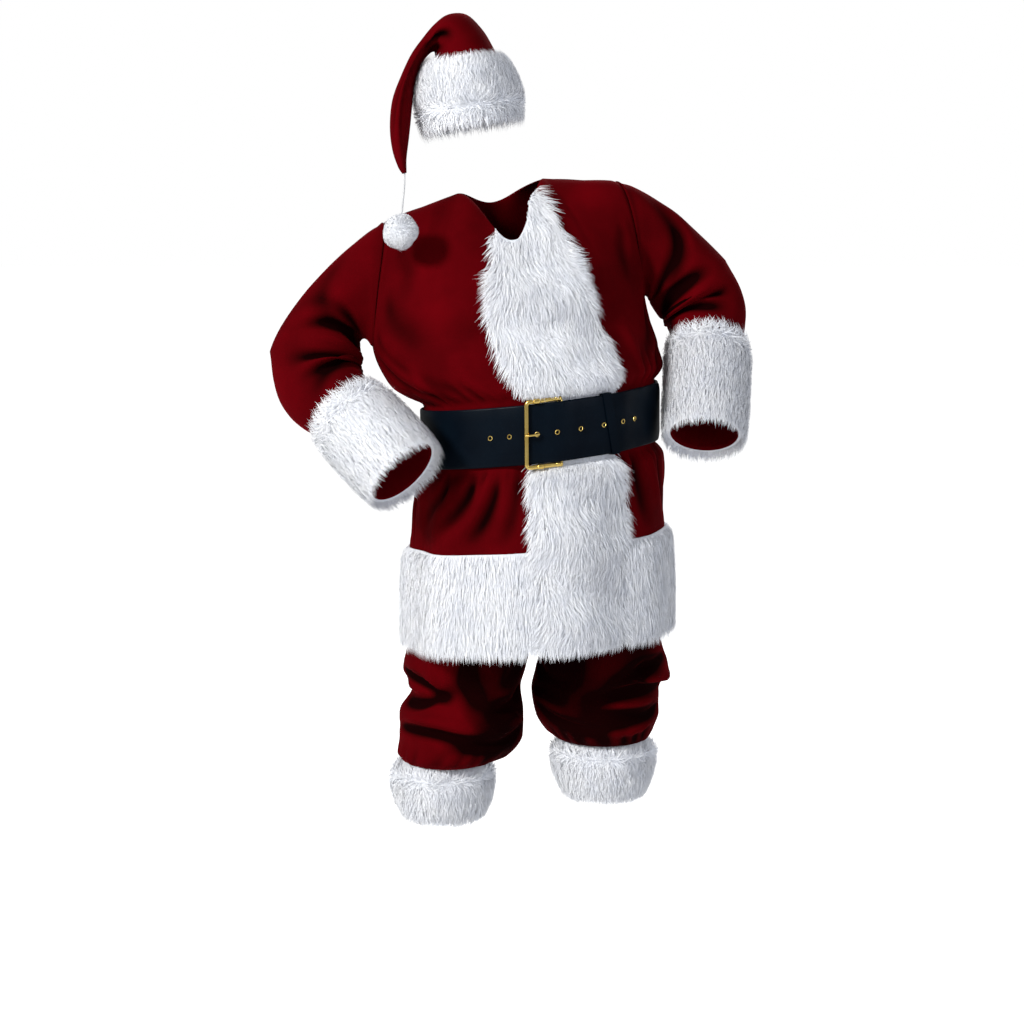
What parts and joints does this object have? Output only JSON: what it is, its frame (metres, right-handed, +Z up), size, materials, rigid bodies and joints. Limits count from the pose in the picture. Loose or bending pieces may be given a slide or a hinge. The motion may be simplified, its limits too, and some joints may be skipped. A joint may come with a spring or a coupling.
{
  "type": "santa suit",
  "caption": "Hollow red velvet jacket, bloused trousers and folded cap with white fur bands and a wide buckled belt, posed as worn with hands on hips.",
  "frame": {"origin": "base of the neck between the shoulders, where the wearer's shoulders carry the jacket", "axes": "+Z up, the suit faces -Y, +X towards the wearer's left"},
  "size_m": [0.9019, 0.5006, 1.51],
  "materials": {
    "velvet": "deep crimson velvet with a soft sheen",
    "fur": "long white plush fur",
    "belt_leather": "black, satin",
    "brass": "polished",
    "cord": "white twisted cord"
  },
  "bodies": {
    "root": {"jacket_front_right": "velvet", "jacket_front_left": "velvet", "jacket_back": "velvet", "sleeve_right": "velvet", "sleeve_left": "velvet", "cuff_fur_right": "fur", "cuff_fur_left": "fur", "placket_fur": "fur", "hem_fur": "fur", "belt_strap": "belt_leather", "belt_keeper": "belt_leather", "belt_buckle_frame": "brass", "belt_buckle_prong": "brass", "belt_eyelet_1": "brass", "belt_eyelet_2": "brass", "belt_eyelet_3": "brass", "belt_eyelet_4": "brass", "belt_eyelet_5": "brass", "belt_eyelet_6": "brass", "belt_eyelet_7": "brass", "belt_eyelet_8": "brass", "trouser_front_right": "velvet", "trouser_back_right": "velvet", "trouser_front_left": "velvet", "trouser_back_left": "velvet", "leg_fur_right": "fur", "leg_fur_left": "fur", "hat_crown": "velvet", "hat_fur_band": "fur", "hat_cord": "cord", "hat_pompom": "fur"}
  },
  "joints": []
}
